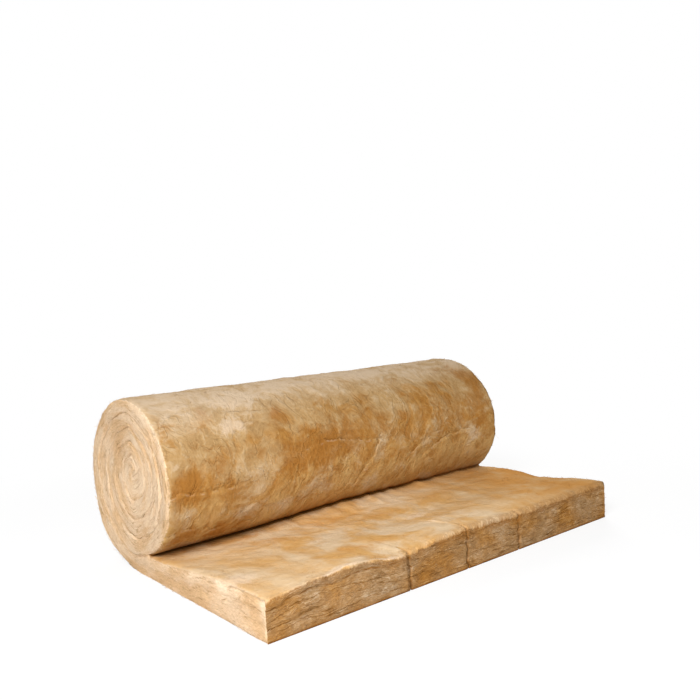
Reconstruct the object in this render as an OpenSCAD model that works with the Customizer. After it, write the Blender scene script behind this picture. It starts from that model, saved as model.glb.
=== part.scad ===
// Roll of glass wool insulation, partly unrolled. One mat is wound into a soft
// spiral that sags under its own weight, and its tail lies on the floor in front.
// X runs along the axis of the roll, -Y points from the roll to the end of the tail.

/* [Mat] */
// Width of the mat, which is the length of the roll
mat_width = 1160; // [600:10:1400]
// Thickness of the laid-out tail where it has lofted fully
mat_thickness = 100; // [60:5:170]
// Length of the tail in front of the axis of the roll
tail_length = 614; // [500:2:1500]
// Length over which the tail lofts from the nip to its full thickness
loft_length = 420; // [100:10:800]

/* [Roll] */
// Upright radius of the outer turn, from its centre down to the floor
roll_radius = 231; // [180:1:320]
// Level radius of the outer turn, wider than upright because the roll sags
roll_spread = 254; // [180:1:360]
// Wound thickness of one turn
turn_pitch = 43; // [25:1:60]
// Height of the eye of the spiral above the centre of the outer turn
eye_rise = 39; // [0:1:60]
// Distance of the eye in front of the centre of the outer turn
eye_lead = 15; // [0:1:40]
// Radius of the wool fold at the eye, where the seam between turns ends
eye_radius = 14; // [6:1:40]
// Angle round the roll, from the floor, at which the outer turn nips the tail
nip_angle = 328; // [310:1:345]

/* [Seam between turns] */
// Width of the seam between turns, as it shows on the ends of the roll
seam_width = 6; // [2:0.5:10]
// Depth of the seam between turns, from the ends of the roll
seam_depth = 12; // [4:1:40]

/* [Part-cuts for splitting the mat into strips] */
// Width of a part-cut
cut_width = 4; // [1:0.5:10]
// Depth of a part-cut into the end of the tail
cut_depth = 30; // [10:1:120]
// Number of strips in the wide split, for wide joist gaps
wide_strips = 2; // [2:1:3]
// Number of strips in the narrow split, for narrow joist gaps
narrow_strips = 3; // [3:1:5]

/* [Hidden] */
// Length that every cut runs past the faces it opens through
overrun = 5;
// Angles between points of the outer turn, of the seam and of its direction
outline_step = 5;
seam_step = 10;
tangent_step = 1;
// Number of straight stretches along the top of the tail
tail_steps = 16;
// Where the seam opens into the wedge in front of the nip, as shares of its width
mouth_shares = [-2, 1 / 4];

// Angle at which the spiral would shrink to nothing, and where the seam stops
eye_angle = 360 * roll_radius / turn_pitch;
seam_end_angle = 360 * (roll_radius - eye_radius) / turn_pitch;

nip = spiral(nip_angle);
tail_run = tail_length + nip[0];
outer_turn = [for (a = [0 : outline_step : nip_angle - outline_step / 2]) spiral(a)];
tail_top = [for (i = [0 : tail_steps]) tail_top_point(tail_run * i / tail_steps)];

// Places of the part-cuts across the mat, as shares of its width
cut_shares = [for (strips = [wide_strips, narrow_strips]) for (i = [1 : strips - 1]) i / strips];

// The footprint is centred on the origin
back_reach = max([for (p = outer_turn) p[0]]);
centre_shift = (tail_length - back_reach) / 2;

// Point of the outer face of the wound mat, as [Y, Z], at an angle from the floor
// through the back, the top and the front of the roll, and on into the inner turns
function spiral(angle) =
    let (
        left_share = 1 - angle / eye_angle,
        drift_share = pow(angle / eye_angle, 2)
    ) [
        roll_spread * left_share * sin(angle) - eye_lead * drift_share,
        roll_radius - roll_radius * left_share * cos(angle) + eye_rise * drift_share
    ];

// Unit normal of the spiral, pointing away from the eye
function spiral_normal(angle) =
    let (
        step = spiral(angle + tangent_step) - spiral(angle - tangent_step)
    ) [step[1], -step[0]] / norm(step);

// Point on top of the tail at a run in front of the nip
function tail_top_point(run) =
    let (
        loft_share = min(1, run / loft_length),
        eased_share = loft_share * loft_share * (3 - 2 * loft_share)
    ) [nip[0] - run, nip[1] + (mat_thickness - nip[1]) * eased_share];

// Section across the axis of the roll, with Y to the right and Z up
module mat_section() {
    polygon(concat([[-tail_length, 0]], outer_turn, tail_top));
}

// Spiral strip that the seam between turns takes out of an end of the roll
module seam_section() {
    angles = [for (a = [nip_angle : seam_step : seam_end_angle]) a];
    outer_edge = [for (a = angles) spiral(a) + spiral_normal(a) * seam_width / 2];
    inner_edge = [for (a = angles) spiral(a) - spiral_normal(a) * seam_width / 2];
    mouth = nip + seam_width * mouth_shares;
    last = len(angles) - 1;
    polygon(concat([mouth], outer_edge, [for (i = [last : -1 : 0]) inner_edge[i]]));
}

// Extrudes a section along the axis of the roll, from one X to another
module along_axis(from_x, to_x) {
    translate([from_x, 0, 0])
        rotate([90, 0, 90])
            linear_extrude(to_x - from_x) children();
}

module end_seams() {
    along_axis(mat_width / 2 - seam_depth, mat_width / 2 + overrun) seam_section();
    along_axis(-mat_width / 2 - overrun, -mat_width / 2 + seam_depth) seam_section();
}

module part_cuts() {
    cut_height = max(mat_thickness, nip[1]) + 2 * overrun;
    for (share = cut_shares)
        translate([(share - 1 / 2) * mat_width - cut_width / 2, -tail_length - overrun, -overrun])
            cube([cut_width, cut_depth + overrun, cut_height]);
}

module glass_wool_mat() {
    color("burlywood")
        translate([0, centre_shift, 0])
            difference() {
                along_axis(-mat_width / 2, mat_width / 2) mat_section();
                end_seams();
                part_cuts();
            }
}

glass_wool_mat();
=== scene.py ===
import math

import bmesh
import bpy
import numpy as np
from mathutils import Matrix, Vector, noise


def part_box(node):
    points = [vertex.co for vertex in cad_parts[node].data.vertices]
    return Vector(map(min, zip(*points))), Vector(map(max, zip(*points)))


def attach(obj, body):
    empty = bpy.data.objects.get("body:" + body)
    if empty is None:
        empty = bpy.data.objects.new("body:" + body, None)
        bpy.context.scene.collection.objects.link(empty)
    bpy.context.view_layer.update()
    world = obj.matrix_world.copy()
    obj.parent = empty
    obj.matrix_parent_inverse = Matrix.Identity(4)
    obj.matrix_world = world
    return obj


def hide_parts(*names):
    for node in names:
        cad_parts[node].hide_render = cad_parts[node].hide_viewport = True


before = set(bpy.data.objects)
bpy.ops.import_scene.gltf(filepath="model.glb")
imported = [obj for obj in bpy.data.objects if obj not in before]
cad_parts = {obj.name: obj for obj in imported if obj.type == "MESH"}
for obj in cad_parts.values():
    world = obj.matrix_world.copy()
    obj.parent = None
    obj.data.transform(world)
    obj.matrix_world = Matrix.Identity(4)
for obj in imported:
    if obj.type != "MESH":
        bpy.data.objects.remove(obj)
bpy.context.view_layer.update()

print("frame loaded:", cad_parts)

scene = bpy.context.scene
lowCorner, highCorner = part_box("glass_wool_mat")

# the mat, in metres: the sizes of its solid, and what differs from one end to the other
mat = {
    "halfWidth": highCorner.x + 0.005,
    "frontY": lowCorner.y,  # cut end of the tail
    "axisY": 0.18587,  # axis of the roll
    "rollRadius": 0.231,
    "rollSpread": 0.254,
    "turnPitch": 0.043,
    "eyeRise": 0.039,
    "eyeLead": 0.015,
    "thickness": 0.100,
    "nipLeft": 337.0,  # where the outer turn meets the tail, in degrees from the floor
    "nipRight": 318.0,
    "nipFrom": -0.50,  # the nip swings from left to right between these two X
    "nipTo": 0.02,
    "nipWander": 2.8,  # degrees it strays from that
    "slitShares": (1 / 3, 1 / 2, 2 / 3),
    "slitDepth": 0.030,
    "slitHalf": 0.0032,
    "slitClear": 0.006,  # no other station comes this near
    "slitWander": 0.009,
}

# the tail: heights of its two edges by share of the way from nip to cut end, and of its front edge by X
tail = {
    "leftHeights": ((0.0, 0.052), (0.22, 0.062), (0.45, 0.074), (0.70, 0.088), (1.0, 0.092)),
    "rightHeights": ((0.0, 0.089), (0.25, 0.095), (0.42, 0.092), (0.52, 0.087), (0.63, 0.092),
                     (0.80, 0.102), (1.0, 0.107)),
    "frontHeights": ((-0.58, 0.091), (-0.53, 0.094), (-0.48, 0.099), (-0.43, 0.098), (-0.36, 0.105),
                     (-0.31, 0.101), (-0.27, 0.092), (-0.22, 0.089), (-0.19, 0.092), (-0.13, 0.099),
                     (-0.07, 0.103), (0.0, 0.105), (0.10, 0.103), (0.19, 0.100), (0.27, 0.101),
                     (0.36, 0.100), (0.46, 0.105), (0.58, 0.107)),
    "frontReach": 0.16,  # how far back the front edge's own heights count
    "edgeRound": 0.004,  # rounding of the front edge, at its left and then at its right
    "edgeRoundRight": 0.010,
    # where the skin curls up at that edge: X, half size, rise
    "curls": ((-0.42, 0.055, 0.0035), (-0.30, 0.035, 0.0025)),
    "lastShares": (0.984, 0.9915, 0.997, 1.0),  # the last columns stand closer, for a crisp edge
    "edgeRag": 0.0030,
    # the lifted lip on the cut end, as X and height of the crack under it
    "crackLine": ((-0.59, 0.067), (-0.553, 0.070), (-0.531, 0.077), (-0.498, 0.080), (-0.457, 0.083),
                  (-0.412, 0.076), (-0.39, 0.077), (-0.36, 0.084), (-0.30, 0.082), (-0.24, 0.072)),
    "crackEnds": (-0.30, -0.24),  # it closes between these two X
    "crackStart": (-0.70, -0.60),
    "crackDepth": 0.002,
    "crackHalf": 0.0020,
    "crackRag": 0.0036,
    "crackRow": 3,
    "lipRows": (0.74, 0.45, 0.18),  # rows of the lip, as shares of its thickness
    "lipReach": 0.0006,
    "lipRag": 0.0025,
    "lipTone": 0.15,  # how much paler the lip is than the rest of the cut end
    # painted shade on the rounded front edge, toning down the light it catches
    "edgeTone": -0.3,
}

# how the roll settles under its own weight, in degrees and metres
sag = {
    "heelAngle": 48.0,
    "heelSpan": 24.0,
    "heel": 0.011,
    "backAngle": 115.0,
    "backSpan": 50.0,
    "back": 0.004,
    "lump": 0.003,
    "crevice": 0.016,  # the nip runs this far in under the roll
}

# creases of the roll: depth, and points as X and angle
creases = (
    (0.003, ((-0.62, 273), (-0.575, 272), (-0.555, 269), (-0.5, 271.5), (-0.46, 273),
             (-0.415, 273.5), (-0.35, 270))),
    (0.0025, ((-0.62, 309), (-0.56, 304), (-0.54, 301), (-0.48, 300))),
    (0.0028, ((-0.48, 311), (-0.44, 308), (-0.4, 303), (-0.36, 294), (-0.33, 286))),
    (0.003, ((-0.25, 248), (-0.215, 251), (-0.175, 256.5), (-0.115, 253.5),
             (-0.04, 255), (0.07, 260.5), (0.14, 262))),
    (0.0025, ((-0.42, 214), (-0.355, 216.5), (-0.285, 221), (-0.24, 221))),
    (0.003, ((-0.02, 300), (0.000, 293.5), (0.015, 284), (0.045, 275.5), (0.08, 259.5), (0.11, 248))),
    (0.0025, ((0.22, 288), (0.26, 281), (0.32, 273), (0.385, 267.5), (0.445, 266.5), (0.49, 265))),
    (0.0025, ((0.17, 283), (0.215, 275), (0.28, 267), (0.35, 260))),
    (0.003, ((-0.4, 120), (0.05, 112))),
    (0.003, ((0.12, 88), (0.5, 95))),
    (0.0025, ((-0.52, 70), (-0.25, 64))),
)
creaseReach = 0.018  # how far from a crease its lines are looked for

# pale fluff and amber patches that stand out: X, place along the mat, half sizes, tone; on the roll the wide
# pale band along the top is painted light, and the wide dark one at X 0.42 is painted shade towards the right
# end
rollPatches = (
    (-0.37, 1.512, 0.065, 0.026, 1.5), (-0.335, 1.438, 0.07, 0.032, 1.1),
    (-0.549, 1.58, 0.022, 0.012, 1.5), (-0.425, 1.45, 0.035, 0.022, -1.5),
    (-0.236, 1.515, 0.03, 0.035, -1.4), (-0.526, 1.766, 0.06, 0.035, -1.3),
    (-0.419, 1.785, 0.07, 0.03, -1.0), (-0.55, 1.49, 0.06, 0.06, 0.3), (-0.45, 1.6, 0.14, 0.09, -0.5),
    (-0.535, 1.63, 0.04, 0.045, -1.0), (-0.082, 1.637, 0.075, 0.045, -0.9),
    (-0.201, 1.645, 0.06, 0.04, -0.7), (0.163, 1.554, 0.05, 0.055, 0.7),
    (0.221, 1.526, 0.016, 0.02, -1.1), (0.191, 1.594, 0.022, 0.016, -1.1),
    (0.246, 1.599, 0.022, 0.05, 0.5), (0.388, 1.685, 0.05, 0.02, 0.5),
    (0.419, 1.433, 0.06, 0.035, -0.7), (-0.365, 1.617, 0.04, 0.035, 0.6),
    (-0.314, 1.664, 0.04, 0.035, 0.4), (-0.1, 1.734, 0.11, 0.04, -0.5), (0.52, 1.56, 0.04, 0.2, -0.8),
    (0.42, 1.6, 0.18, 0.3, -0.3), (-0.1, 1.4, 0.7, 0.07, 0.75), (0.05, 1.62, 0.5, 0.08, -0.75),
)
# on the tail, the two pale ones at the front edge are painted highlights on the curls, and the wide dark one
# at X 0.45 is painted shade towards the right
tailPatches = (
    (-0.033, 0.301, 0.06, 0.03, -1.0), (-0.233, 0.109, 0.11, 0.04, -0.9),
    (-0.332, 0.36, 0.08, 0.035, -0.7), (-0.164, 0.41, 0.09, 0.03, -0.6),
    (0.002, 0.121, 0.055, 0.04, 0.7), (0.037, 0.219, 0.06, 0.04, 0.9),
    (-0.275, 0.248, 0.09, 0.045, 0.5), (-0.56, 0.15, 0.05, 0.04, 1.4),
    (-0.131, 0.17, 0.08, 0.04, 0.3), (-0.049, 0.077, 0.035, 0.02, -0.7),
    (0.284, 0.286, 0.14, 0.05, -0.4), (0.45, 0.25, 0.22, 0.3, -0.3),
    (-0.395, 0.003, 0.05, 0.006, 3.0), (-0.27, 0.003, 0.04, 0.006, 2.0),
    (-0.5, 0.5, 0.1, 0.025, -0.9), (-0.33, 0.465, 0.12, 0.025, -0.9), (-0.1, 0.38, 0.12, 0.02, -0.7),
)

# the same on the cut end of the tail: X, height, half sizes, tone
frontPatches = (
    (-0.3, 0.03, 0.05, 0.014, 1.0), (-0.21, 0.045, 0.04, 0.018, 0.8),
    (-0.45, 0.028, 0.045, 0.012, 0.6), (-0.06, 0.03, 0.05, 0.012, 0.8),
    (0.03, 0.022, 0.045, 0.01, 0.9), (0.11, 0.045, 0.035, 0.014, 0.7), (-0.4, 0.04, 0.2, 0.05, 0.2),
    (0.3, 0.02, 0.2, 0.012, -0.6), (-0.11, 0.06, 0.11, 0.06, -1.0),
)

tuftBorder = 0.7  # tufts from here on along the mat are on the roll
# loose tufts on the skin: X, place along the mat, radius
tufts = (
    (-0.275, 0.008, 0.03), (-0.549, 1.58, 0.022), (-0.32, 1.532, 0.035), (-0.57, 0.115, 0.04),
    (0.037, 0.2, 0.03), (-0.44, 0.02, 0.03), (0.388, 1.685, 0.035), (0.058, 1.692, 0.025),
)

# on the left side: pale tufts of the tail by place along it, reach along, share down and tone
sideTufts = ((0.165, 0.035, 0.40, 5.0), (0.012, 0.016, 0.35, 3.6), (0.30, 0.03, 0.30, 2.0))
# and patches of the wound end: Y, height, half sizes, tone
endPatches = (
    (0.252, 0.342, 0.07, 0.06, -1.0), (0.3, 0.15, 0.04, 0.08, -0.6), (0.13, 0.21, 0.07, 0.11, 0.5),
)

meshing = {
    "columnsToNip": 200,  # round the outer turn
    "columnsUnder": 20,  # from the nip to a full turn
    "columnsTail": 80,
    "rowsDeep": 16,  # through the thickness
    "stations": 165,  # across the width, before the slits
    "rimRecess": 0.006,  # rounding of the rim of the roll
    "rimInset": 0.003,
    "rimWidth": 0.020,
    "rimSteps": (0.006, 0.0105, 0.016, 0.023),  # stations at a rim, from the end inwards
    "rimRag": 0.0028,
    "sideInset": 0.004,  # how much less the cut edges of the tail are rounded
    "seamDepth": 0.005,  # grooves between turns on the cut ends
    "seamHalf": 0.0035,
    "seamWander": 0.007,
    "seamKink": 0.009,  # turns come to a point above and below the eye
    "dish": 0.004,  # inner turns lie this much deeper than the outer one
}
nipColumn = meshing["columnsToNip"]
tailCount = meshing["columnsTail"]
underCount = meshing["columnsUnder"]
edgeColumn = nipColumn + tailCount  # the front edge
rows = meshing["rowsDeep"]
crackColumn = edgeColumn + 1 + tail["crackRow"]
halfWidth, frontY, thickness = mat["halfWidth"], mat["frontY"], mat["thickness"]


def smoothStep(low, high, value):
    share = np.clip((value - low) / (high - low), 0.0, 1.0)
    return share * share * (3 - 2 * share)


# smooth curve through a few given points
def throughPoints(points, at):
    places, values = np.array(points).T
    slopes = np.gradient(values, places)
    i = np.clip(np.searchsorted(places, at, side="right") - 1, 0, len(places) - 2)
    span = places[i + 1] - places[i]
    t = np.clip((at - places[i]) / span, 0.0, 1.0)
    low = (1 + 2 * t) * (1 - t) ** 2 * values[i] + t * (1 - t) ** 2 * span * slopes[i]
    high = t * t * (3 - 2 * t) * values[i + 1] - t * t * (1 - t) * span * slopes[i + 1]
    return low + high


def wave(x, y, seed):
    return noise.noise(Vector((x, y, seed)))


waves = np.vectorize(wave)


# the same along one line
def ripple(x, size, seed):
    return waves(x / size, 0 * x, seed)


eyeAngle = 360 * mat["rollRadius"] / mat["turnPitch"]
slitPlaces = [(share - 0.5) * 2 * highCorner.x for share in mat["slitShares"]]
evenShares = np.linspace(0, 1, rows + 1)
depthShares = 0.45 * evenShares + 0.55 * (0.5 - 0.5 * np.cos(math.pi * evenShares))  # closer at both faces


# point of the outer face of the wound mat, as (Y, Z), at an angle from the floor over the back
def spiralPoint(angle):
    angle = np.asarray(angle, float)
    left = 1 - angle / eyeAngle
    drift = (angle / eyeAngle) ** 2
    turn = np.radians(angle)
    y = mat["axisY"] + mat["rollSpread"] * left * np.sin(turn) - mat["eyeLead"] * drift
    z = mat["rollRadius"] * (1 - left * np.cos(turn)) + mat["eyeRise"] * drift
    return np.stack([y, z], axis=-1)


def nipAngle(x):
    swing = smoothStep(mat["nipFrom"], mat["nipTo"], x)
    stray = ripple(x, 0.06, 2.9) + 0.6 * ripple(x, 0.022, 6.3)
    return mat["nipLeft"] + (mat["nipRight"] - mat["nipLeft"]) * swing + mat["nipWander"] * stray


# height of the top of the tail; share runs from the nip to the cut end
def tailTop(x, share):
    left = throughPoints(tail["leftHeights"], share)
    right = throughPoints(tail["rightHeights"], share)
    height = left + (right - left) * smoothStep(-halfWidth, halfWidth, x)
    nipHeight = spiralPoint(nipAngle(x))[..., 1]
    return height + (nipHeight - height) * (1 - smoothStep(0.0, 0.25, share))


# the same, with the uneven front edge and its rounding
def tailHeight(x, y, share, notch):
    back = y - frontY - notch
    near = 1 - smoothStep(0.0, tail["frontReach"], back)
    height = tailTop(x, share)
    height = height + (throughPoints(tail["frontHeights"], x) - height) * near
    edge = tail["edgeRound"] + (tail["edgeRoundRight"] - tail["edgeRound"]) * smoothStep(-0.30, -0.15, x)
    inRound = np.clip(1 - back / edge, 0, 1)
    return height - edge * (1 - np.sqrt(1 - inRound ** 2))


# X of the mesh stations: even, closer at the two rims, with five at each slit
def stationList():
    rim = [halfWidth - step for step in meshing["rimSteps"]]
    even = np.linspace(-rim[-1], rim[-1], meshing["stations"])
    kept = [x for x in even if all(abs(x - place) > mat["slitClear"] for place in slitPlaces)]
    kept += [place + share * mat["slitHalf"] for place in slitPlaces for share in (-1, -0.5, 0, 0.5, 1)]
    return np.array(sorted(kept + rim[:-1] + [-x for x in rim[:-1]]))


# how far a slit goes into the cut end
def notchDepth(x):
    deep = np.zeros_like(x)
    for place in slitPlaces:
        share = np.clip(1 - np.abs(x - place) / mat["slitHalf"], 0, 1)
        deep = np.maximum(deep, mat["slitDepth"] * np.sqrt(share))
    return deep


# 1 along the lifted lip, 0 where it has closed
def crackShare(x):
    return smoothStep(*tail["crackStart"], x) * (1 - smoothStep(*tail["crackEnds"], x))


# distance of each place on the outer turn from each crease, with how far it has closed and its depth
def creaseOffsets(x, angles):
    wander = 1.5 * ripple(x, 0.09, 4.4) + ripple(x, 0.03, 1.4)
    perDegree = math.radians(1) * mat["rollRadius"]
    for deep, points in creases:
        places, middles = np.array(points).T
        middle = np.interp(x, places, middles)
        slope = np.interp(x, places, np.gradient(middles, places)) * perDegree
        off = (angles - middle - wander) * perDegree / np.sqrt(1 + slope ** 2)
        x0, x1 = places[0], places[-1]
        fade = min(0.06, 0.3 * (x1 - x0))
        yield off, smoothStep(x0, x0 + fade, x) * (1 - smoothStep(x1 - fade, x1, x)), deep


# swelling and creases of the outer turn, along its outward direction
def turnSwell(x, angles):
    heel = np.exp(-((angles - sag["heelAngle"]) / sag["heelSpan"]) ** 2)
    back = np.exp(-((angles - sag["backAngle"]) / sag["backSpan"]) ** 2)
    swell = sag["heel"] * heel + sag["back"] * back * (1 - smoothStep(-0.5, 0.2, x))
    swell = swell + sag["lump"] * waves(x / 0.22 + 0 * angles, angles / 55, 6.1)
    for off, fade, deep in creaseOffsets(x, angles):
        groove = -deep * np.exp(-(off / 0.005) ** 2)
        lip = 0.5 * deep * np.exp(-((off - 0.012) / 0.007) ** 2)
        swell += (groove + lip) * fade
    return swell


# how far the rims are rounded off at a station
def rimDrop(x):
    reach = meshing["rimWidth"]
    return np.clip((np.abs(x) - (halfWidth - reach)) / (reach - meshing["rimRecess"]), 0, 1) ** 2.5


# the outer turn as (Y, Z) of each station and column
def turnColumns(x):
    angles = nipAngle(x) * np.arange(nipColumn + 1)[None, :] / nipColumn
    turn = spiralPoint(angles)
    outward = turn - np.array([mat["axisY"], mat["rollRadius"]])
    outward /= np.linalg.norm(outward, axis=-1, keepdims=True)
    offFloor = smoothStep(0.0, 25.0, angles)
    offNip = 1 - smoothStep(-14.0, 0.0, angles - nipAngle(x))
    shift = turnSwell(x, angles) * offNip - meshing["rimInset"] * rimDrop(x)
    return turn + outward * (shift * offFloor)[..., None]


# the top of the tail, from the nip to the front edge
def topColumns(x, nipY, notch):
    share = (np.arange(1, tailCount + 1)[None, :] / tailCount) ** 0.94
    share[:, -4:] = tail["lastShares"]
    plainY = nipY + (frontY - nipY) * share
    y = plainY + notch * (1 - smoothStep(0.0, 0.075, plainY - frontY))
    z = tailHeight(x, y, (nipY - y) / (nipY - frontY), notch) - meshing["rimInset"] * rimDrop(x)
    return np.stack([y, z], axis=-1)


# the cut end, with the lip and the crack under it
def endColumns(xs, cornerZ, notch):
    row = np.arange(rows)[None, :]
    crackRow = tail["crackRow"]
    crackOn = crackShare(xs)[:, None]
    rag = ripple(xs, 0.013, 3.3) + 0.8 * ripple(xs, 0.033, 1.7)
    crackZ = (throughPoints(tail["crackLine"], xs) + tail["crackRag"] * rag)[:, None]
    lipZ = crackZ + (cornerZ - crackZ) * np.array(tail["lipRows"] + (0,) * (rows - crackRow))[None, :]
    underZ = crackZ - (row - crackRow) * tail["crackHalf"]
    follow = crackOn * np.where(row <= crackRow, 1.0, np.clip(1 - (row - crackRow) / 4, 0, 1))
    plainZ = cornerZ * depthShares[::-1][None, 1:]
    z = plainZ + (np.where(row < crackRow, lipZ, underZ) - plainZ) * follow
    y = np.repeat(frontY + notch, rows, axis=1)
    y += crackOn * tail["crackDepth"] * np.exp(-((row - crackRow) / 0.6) ** 2)
    y -= crackOn * tail["lipReach"] * (row < crackRow) * np.sin(math.pi * (row + 1.5) / (crackRow + 1.5))
    y += crackOn * tail["lipRag"] * (row < crackRow) * waves(xs[:, None] / 0.011, row * 0.7, 4.9)
    return np.stack([y, z], axis=-1)


# slits wander on their way down, and every cut edge is a little ragged
def ragEdges(xs, grid):
    for place in slitPlaces:
        inSlit = np.abs(xs - place) < mat["slitHalf"] * 1.5
        down = grid[inSlit, edgeColumn:, 2]
        grid[inSlit, edgeColumn:, 0] += mat["slitWander"] * ripple(down, 0.014, place * 30)
    columnCount = grid.shape[1]
    rag = meshing["rimRag"] * np.where(np.arange(columnCount) > nipColumn, 0.5, 1.0)
    for station, sign in ((0, 1), (-1, -1)):
        y, z = grid[station, :, 1], grid[station, :, 2]
        shift = waves(y / 0.016, z / 0.016, 2.2) + waves(y / 0.05, z / 0.05, 7.7)
        grid[station, :, 0] += sign * rag * shift
    for column, amount in ((edgeColumn - 1, 0.6), (edgeColumn, 1.0), (edgeColumn + 1, 0.6)):
        grid[:, column, 2] += amount * tail["edgeRag"] * (ripple(xs, 0.015, 5.1) + ripple(xs, 0.05, 3.7))
        grid[:, column, 1] += amount * tail["edgeRag"] * ripple(xs, 0.024, 8.3)
    for at, reach, rise in tail["curls"]:
        curl = rise * np.exp(-((xs - at) / reach) ** 2) * (1 + ripple(xs, 0.02, 6.9))
        for column, amount in ((edgeColumn - 2, 0.5), (edgeColumn - 1, 1.0), (edgeColumn, 0.8)):
            grid[:, column, 2] += amount * curl
    # the cut edges of the tail are crisper than the rim of the roll
    crisp = np.zeros(columnCount)
    crisp[nipColumn + 1:] = smoothStep(0, tailCount, np.arange(1, tailCount + rows + 1))
    grid[0, :, 0] -= meshing["sideInset"] * crisp
    grid[-1, :, 0] += meshing["sideInset"] * crisp


# the skin: outer turn, top of the tail and its cut end, as a grid of stations by columns
def skinGrid():
    xs = stationList()
    x = xs[:, None]
    notch = notchDepth(xs)[:, None]
    turn = turnColumns(x)
    top = topColumns(x, turn[:, -1:, 0], notch)
    end = endColumns(xs, top[:, -1:, 1], notch)
    turn[:, -1, 0] += sag["crevice"] * (1 - smoothStep(-0.030, -0.008, np.abs(xs) - halfWidth))
    yz = np.concatenate([turn, top, end], axis=1)
    grid = np.concatenate([np.repeat(x[..., None], yz.shape[1], axis=1), yz], axis=-1)
    ragEdges(xs, grid)
    return xs, grid


# tone of the skin at a place, from the patches
def patchTone(x, along, patches):
    tone = 0.0
    shiftX = waves(x / 0.05, along / 0.05, 1.3)
    shiftAlong = waves(x / 0.05, along / 0.05, 8.9)
    for px, pa, halfX, halfAlong, strength in patches:
        rag = min(0.022, 0.8 * halfAlong)
        ragX = min(0.030, 0.5 * halfX)
        far = ((x + ragX * shiftX - px) / halfX) ** 2 + ((along + rag * shiftAlong - pa) / halfAlong) ** 2
        tone = tone + strength * np.exp(-far)
    return tone


# angle of a column on a cut end, which goes on past the nip, turn after turn
def columnAngle(index, nip):
    turns, rest = np.divmod(index, nipColumn + underCount)
    early = nip * rest / nipColumn
    late = nip + (360 - nip) * (rest - nipColumn) / underCount
    return np.minimum(360 * turns + np.where(rest <= nipColumn, early, late), eyeAngle)


# marks of a point, as they are on plain skin; the material and the trees read them
plainMarks = {"sideFace": 0.0, "frontFace": 0.0, "still": 0.0, "tone": 0.0, "fluff": 0.0, "shade": 0.0,
              "fray": 0.0, "foldOff": 0.03, "foldOn": 0.0}


# points and faces of the mat, with where each corner lies along, across and through it
class MatMesh:
    def __init__(self):
        self.points = []
        self.faces = []
        self.coords = []
        self.marks = []
        self.grains = []
        self.corners = set()  # points of the upright corners, kept sharp

    def addPoint(self, place, grain, **marks):
        self.points.append(tuple(place))
        self.grains.append(tuple(grain))
        self.marks.append(tuple({**plainMarks, **marks}.values()))
        return len(self.points) - 1

    def addFace(self, corners, coords):
        kept = []
        for corner, coord in zip(corners, coords):
            if corner not in [c for c, _ in kept]:
                kept.append((corner, coord))
        if len(kept) > 2:
            self.faces.append([c for c, _ in kept])
            self.coords.extend(coord for _, coord in kept)


# painted shade along the nip, by columns from it: up the roll, and out on the tail
nipShade = ((-16, 0), (-10, 0.11), (-4, 0.30), (-3, 0.46), (-2, 0.68), (-1, 0.90), (0, 1), (1, 0.55),
            (2, 0.26), (4, 0.17), (8, 0.10), (14, 0))


def skinTones(xs, grid, along):
    x = xs[:, None]
    onTail = slice(nipColumn, edgeColumn)
    tones = np.zeros(grid.shape[:2])
    tones[:, :nipColumn] = patchTone(x, along[None, :nipColumn], rollPatches)
    tones[:, onTail] = patchTone(x, grid[:, onTail, 1] - frontY, tailPatches)
    tones[:, edgeColumn:] = patchTone(x, grid[:, edgeColumn:, 2], frontPatches)
    # the rim is painted paler at the left, where the light falls, partly as pale loose fibre ends and partly
    # as a painted highlight, and painted darker at the right, as painted shade
    atRim = 1 - smoothStep(0.004, 0.012, halfWidth - np.abs(x))
    tones[:, :nipColumn] += np.where(x < 0, 1.1, -1.0) * atRim
    tones[:, onTail] += np.where(x < 0, 0.8, 0) * atRim
    # painted shade: the front edge is darker at its left, except at the curl
    dimmed = (1 - np.exp(-((x + 0.42) / 0.07) ** 2)) * (1 - smoothStep(-0.30, -0.15, x))
    tones[:, edgeColumn - 2:edgeColumn + 1] += tail["edgeTone"] * dimmed
    tones[:, edgeColumn + 1:crackColumn] += tail["lipTone"] * crackShare(x)
    return tones


# where loose fluff stands up: at the cut edges, round the slits and in tufts
def skinFluff(xs, grid, along, depth):
    fluff = np.zeros(grid.shape[:2])
    fluff[(0, 1, -2, -1), :] = 0.3
    fluff[(0, 1, -2, -1), edgeColumn:] = 0.03
    fluff[:, edgeColumn - 2:edgeColumn + 2] = 0.2
    nearEdge = slice(edgeColumn - 8, edgeColumn + 6)
    for place in slitPlaces:
        atSlit = np.exp(-((grid[..., 0] - place) / 0.016) ** 2 - ((grid[..., 1] - frontY) / 0.02) ** 2)
        fluff[:, nearEdge] = np.maximum(fluff, atSlit)[:, nearEdge]
    onRoll = depth[None, :] < 0.5 * thickness
    for px, pa, radius in tufts:
        near = np.exp(-(((xs[:, None] - px) / radius) ** 2 + ((along[None, :] - pa) / radius) ** 2))
        fluff = np.maximum(fluff, np.where(onRoll, pa > tuftBorder, pa < tuftBorder) * near)
    return fluff


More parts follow.
